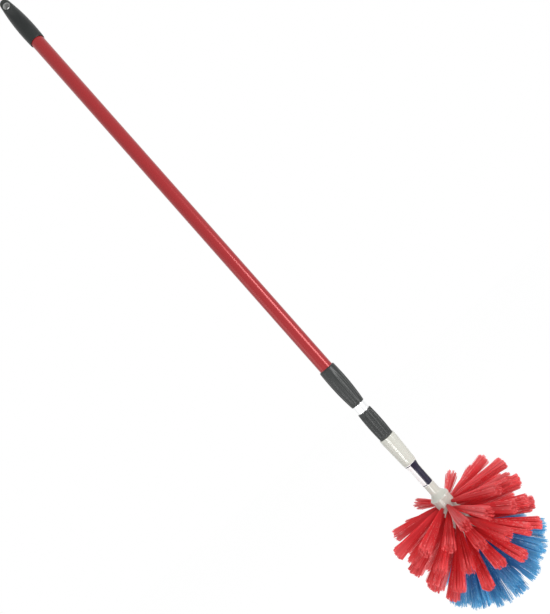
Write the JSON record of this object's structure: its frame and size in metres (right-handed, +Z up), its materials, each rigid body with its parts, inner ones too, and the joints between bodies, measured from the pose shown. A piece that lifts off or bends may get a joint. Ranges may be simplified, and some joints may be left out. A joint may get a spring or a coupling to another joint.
{
  "type": "cobweb brush",
  "caption": "Telescopic cobweb brush: painted twist-lock pole with a hanging cap and a screw-on round head of splayed coloured tufts.",
  "frame": {"origin": "centre of the hanging hole in the cap", "axes": "+Z runs up the pole towards the cap's tip, the head hangs towards -Z; +Y is the axis of the hanging hole, from the front (-Y) to the back"},
  "size_m": [0.2106, 0.2123, 1.1733],
  "materials": {
    "black_plastic": "moulded black plastic, fine grain",
    "red_paint": "glossy red coating on steel tube",
    "bright_steel": "bright plated steel tube",
    "small_steel": "zinc plated steel",
    "pale_nylon": "natural nylon",
    "cream_plastic": "glossy off-white moulded plastic",
    "label_film": "glossy film label, dark block and pale strip, bare",
    "red_bristle": "red plastic bristles",
    "blue_bristle": "blue plastic bristles"
  },
  "bodies": {
    "pole": {"hanging_cap": "black_plastic", "outer_tube": "red_paint", "lock_grip": "black_plastic", "guide_bush": "pale_nylon"},
    "expander": {"expander_collet": "pale_nylon"},
    "cone": {"cone_nut": "black_plastic"},
    "inner_pole": {"inner_tube": "bright_steel", "lock_spindle": "pale_nylon", "spindle_pin": "small_steel", "spindle_stop": "small_steel", "thread_collar": "black_plastic", "collar_pin": "small_steel"},
    "head": {"brush_socket": "cream_plastic", "socket_label": "label_film", "brush_core": "cream_plastic", "core_screw": "small_steel", "tuft_anchors": "small_steel", "red_tufts_1": "red_bristle", "red_tufts_2": "red_bristle", "red_tufts_3": "red_bristle", "red_tufts_4": "red_bristle", "red_tufts_5": "red_bristle", "red_tufts_6": "red_bristle", "blue_tufts_1": "blue_bristle", "blue_tufts_2": "blue_bristle", "blue_tufts_3": "blue_bristle", "blue_tufts_4": "blue_bristle"}
  },
  "joints": [
    {"name": "telescope", "type": "slide", "parent": "pole", "child": "expander", "axis": [0, 0, -1], "range_m": [0, 0.6]},
    {"name": "twist", "type": "hinge", "parent": "expander", "child": "inner_pole", "pos_m": [0, 0, -0.08], "axis": [0, 0, 1], "range_deg": [0, 270]},
    {"name": "cone_travel", "type": "slide", "parent": "expander", "child": "cone", "axis": [0, 0, 1], "range_m": [0, 0.0015]},
    {"name": "head_release", "type": "slide", "parent": "inner_pole", "child": "head", "axis": [0, 0, -1], "range_m": [0, 0.045]}
  ],
  "couplings": [
    {"joint": "cone_travel", "follows": "twist", "m_per_rad": 0.00031831}
  ]
}
